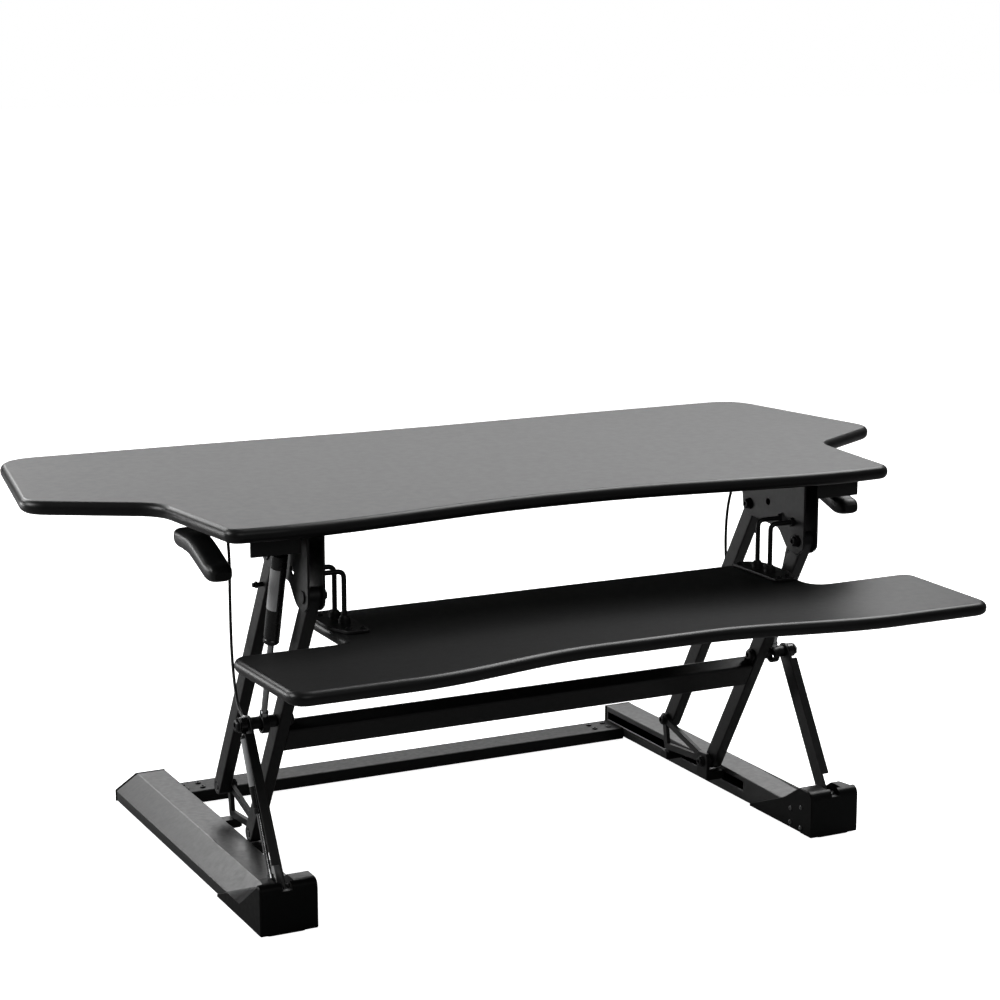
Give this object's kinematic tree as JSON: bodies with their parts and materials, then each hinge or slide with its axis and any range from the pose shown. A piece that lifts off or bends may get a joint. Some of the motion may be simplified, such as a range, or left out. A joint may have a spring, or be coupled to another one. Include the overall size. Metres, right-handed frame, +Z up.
{
  "type": "standing desk converter",
  "caption": "Height-adjustable desktop riser with a winged top, a keyboard tray and a straight-line scissor lift carried by gas springs.",
  "frame": {"origin": "middle of the footprint on the surface that the feet stand on, with the lift fully raised", "axes": "+X to the right across the width, +Y to the rear, +Z up"},
  "size_m": [1.2576, 0.796, 0.508],
  "materials": {
    "laminate": "black fine-grained laminate with a satin rolled edge",
    "black_steel": "black powder coat, satin",
    "black_plastic": "black moulded plastic, fine texture",
    "rubber": "matt black rubber",
    "zinc": "zinc-plated steel, slightly dulled",
    "spring_black": "smooth black paint, semi-gloss",
    "cable_jacket": "black plastic cable sheath"
  },
  "bodies": {
    "base": {"foot_beam_left": "black_steel", "front_cap_left": "black_plastic", "rear_cap_left": "black_plastic", "rubber_foot_front_left": "rubber", "rubber_foot_rear_left": "rubber", "base_pin_left": "zinc", "foot_beam_right": "black_steel", "front_cap_right": "black_plastic", "rear_cap_right": "black_plastic", "rubber_foot_front_right": "rubber", "rubber_foot_rear_right": "rubber", "base_pin_right": "zinc", "rear_crossbar": "black_steel"},
    "lower_arm_left": {"lower_arm_left": "black_steel"},
    "lower_arm_right": {"lower_arm_right": "black_steel"},
    "front_arms": {"front_arm_left": "black_steel", "middle_axle_left": "black_steel", "front_arm_right": "black_steel", "middle_axle_right": "black_steel", "arm_cross_tube": "black_steel"},
    "platform": {"desktop": "laminate", "keyboard_tray": "laminate", "top_bracket_left": "black_steel", "tray_hanger_left": "black_steel", "lever_housing_left": "black_steel", "lever_pin_left": "zinc", "front_arm_top_pin_left": "zinc", "rear_arm_top_pin_left": "zinc", "release_cable_left": "cable_jacket", "top_bracket_right": "black_steel", "tray_hanger_right": "black_steel", "lever_housing_right": "black_steel", "lever_pin_right": "zinc", "front_arm_top_pin_right": "zinc", "rear_arm_top_pin_right": "zinc", "release_cable_right": "cable_jacket"},
    "carriage_left": {"carriage_left": "black_steel", "front_glide_left": "black_plastic", "rear_glide_left": "black_plastic", "front_arm_foot_pin_left": "zinc", "rear_arm_foot_pin_left": "zinc"},
    "rear_arm_left": {"rear_arm_left": "black_steel"},
    "upper_cylinder_left": {"upper_spring_cylinder_left": "spring_black"},
    "upper_rod_left": {"upper_spring_rod_left": "zinc"},
    "lower_cylinder_left": {"lower_spring_cylinder_left": "spring_black"},
    "lower_rod_left": {"lower_spring_rod_left": "zinc"},
    "lever_left": {"release_lever_left": "black_plastic"},
    "carriage_right": {"carriage_right": "black_steel", "front_glide_right": "black_plastic", "rear_glide_right": "black_plastic", "front_arm_foot_pin_right": "zinc", "rear_arm_foot_pin_right": "zinc"},
    "rear_arm_right": {"rear_arm_right": "black_steel"},
    "upper_cylinder_right": {"upper_spring_cylinder_right": "spring_black"},
    "upper_rod_right": {"upper_spring_rod_right": "zinc"},
    "lower_cylinder_right": {"lower_spring_cylinder_right": "spring_black"},
    "lower_rod_right": {"lower_spring_rod_right": "zinc"},
    "lever_right": {"release_lever_right": "black_plastic"}
  },
  "joints": [
    {"name": "lift", "type": "hinge", "parent": "base", "child": "lower_arm_left", "pos_m": [-0.395, -0.152, 0.0485], "axis": [-1, 0, 0], "range_deg": [0, 54]},
    {"name": "lower_arm_right_pivot", "type": "hinge", "parent": "base", "child": "lower_arm_right", "pos_m": [0.395, -0.152, 0.0485], "axis": [-1, 0, 0], "range_deg": [-0.5, 54.5]},
    {"name": "middle_pivot", "type": "hinge", "parent": "lower_arm_left", "child": "front_arms", "pos_m": [-0.37, -0.04516, 0.22987], "axis": [1, 0, 0], "range_deg": [-0.5, 109]},
    {"name": "platform_pivot", "type": "hinge", "parent": "front_arms", "child": "platform", "pos_m": [0, -0.152, 0.41125], "axis": [-1, 0, 0], "range_deg": [-0.5, 54.5], "deforming": ["release_cable_left", "release_cable_right"]},
    {"name": "carriage_left_pivot", "type": "hinge", "parent": "front_arms", "child": "carriage_left", "pos_m": [-0.351, 0.06167, 0.0485], "axis": [-1, 0, 0], "range_deg": [-0.5, 54.5]},
    {"name": "rear_arm_left_pivot", "type": "hinge", "parent": "platform", "child": "rear_arm_left", "pos_m": [-0.351, -0.0354, 0.44145], "axis": [1, 0, 0], "range_deg": [-0.5, 54.5]},
    {"name": "upper_spring_left_pivot", "type": "hinge", "parent": "platform", "child": "upper_cylinder_left", "pos_m": [-0.3755, -0.1185, 0.4738], "axis": [1, 0, 0], "range_deg": [-0.5, 48.6]},
    {"name": "upper_spring_left_stroke", "type": "slide", "parent": "upper_cylinder_left", "child": "upper_rod_left", "axis": [0, -0.2879, 0.9577], "range_m": [-0.0005, 0.06063]},
    {"name": "lower_spring_left_pivot", "type": "hinge", "parent": "lower_arm_left", "child": "lower_cylinder_left", "pos_m": [-0.4025, -0.04516, 0.22987], "axis": [-1, 0, 0], "range_deg": [-0.5, 4.89]},
    {"name": "lower_spring_left_stroke", "type": "slide", "parent": "lower_cylinder_left", "child": "lower_rod_left", "axis": [0, 0.4458, 0.8951], "range_m": [-0.0005, 0.00745]},
    {"name": "release_lever_left_pivot", "type": "hinge", "parent": "platform", "child": "lever_left", "pos_m": [-0.45, 0.008, 0.463], "axis": [-1, 0, 0], "range_deg": [0, 14], "stiffness_Nm_per_rad": 3, "springref_deg": -5.73},
    {"name": "carriage_right_pivot", "type": "hinge", "parent": "front_arms", "child": "carriage_right", "pos_m": [0.351, 0.06167, 0.0485], "axis": [-1, 0, 0], "range_deg": [-0.5, 54.5]},
    {"name": "rear_arm_right_pivot", "type": "hinge", "parent": "platform", "child": "rear_arm_right", "pos_m": [0.351, -0.0354, 0.44145], "axis": [1, 0, 0], "range_deg": [-0.5, 54.5]},
    {"name": "upper_spring_right_pivot", "type": "hinge", "parent": "platform", "child": "upper_cylinder_right", "pos_m": [0.3755, -0.1185, 0.4738], "axis": [1, 0, 0], "range_deg": [-0.5, 48.6]},
    {"name": "upper_spring_right_stroke", "type": "slide", "parent": "upper_cylinder_right", "child": "upper_rod_right", "axis": [0, -0.2879, 0.9577], "range_m": [-0.0005, 0.06063]},
    {"name": "lower_spring_right_pivot", "type": "hinge", "parent": "lower_arm_right", "child": "lower_cylinder_right", "pos_m": [0.4025, -0.04516, 0.22987], "axis": [-1, 0, 0], "range_deg": [-0.5, 4.89]},
    {"name": "lower_spring_right_stroke", "type": "slide", "parent": "lower_cylinder_right", "child": "lower_rod_right", "axis": [0, 0.4458, 0.8951], "range_m": [-0.0005, 0.00745]},
    {"name": "release_lever_right_pivot", "type": "hinge", "parent": "platform", "child": "lever_right", "pos_m": [0.45, 0.008, 0.463], "axis": [-1, 0, 0], "range_deg": [0, 14], "stiffness_Nm_per_rad": 3, "springref_deg": -5.73}
  ],
  "couplings": [
    {"joint": "lower_arm_right_pivot", "follows": "lift", "ratio": 1},
    {"joint": "middle_pivot", "follows": "lift", "ratio": 2},
    {"joint": "platform_pivot", "follows": "lift", "ratio": 1},
    {"joint": "carriage_left_pivot", "follows": "lift", "ratio": 1},
    {"joint": "rear_arm_left_pivot", "follows": "lift", "ratio": 1},
    {"joint": "upper_spring_left_pivot", "follows": "lift", "ratio": 0.89083},
    {"joint": "upper_spring_left_stroke", "follows": "lift", "m_per_rad": 0.063801},
    {"joint": "lower_spring_left_pivot", "follows": "lift", "ratio": 0.081254},
    {"joint": "lower_spring_left_stroke", "follows": "lift", "m_per_rad": 0.007374},
    {"joint": "carriage_right_pivot", "follows": "lift", "ratio": 1},
    {"joint": "rear_arm_right_pivot", "follows": "lift", "ratio": 1},
    {"joint": "upper_spring_right_pivot", "follows": "lift", "ratio": 0.89083},
    {"joint": "upper_spring_right_stroke", "follows": "lift", "m_per_rad": 0.063801},
    {"joint": "lower_spring_right_pivot", "follows": "lift", "ratio": 0.081254},
    {"joint": "lower_spring_right_stroke", "follows": "lift", "m_per_rad": 0.007374}
  ]
}
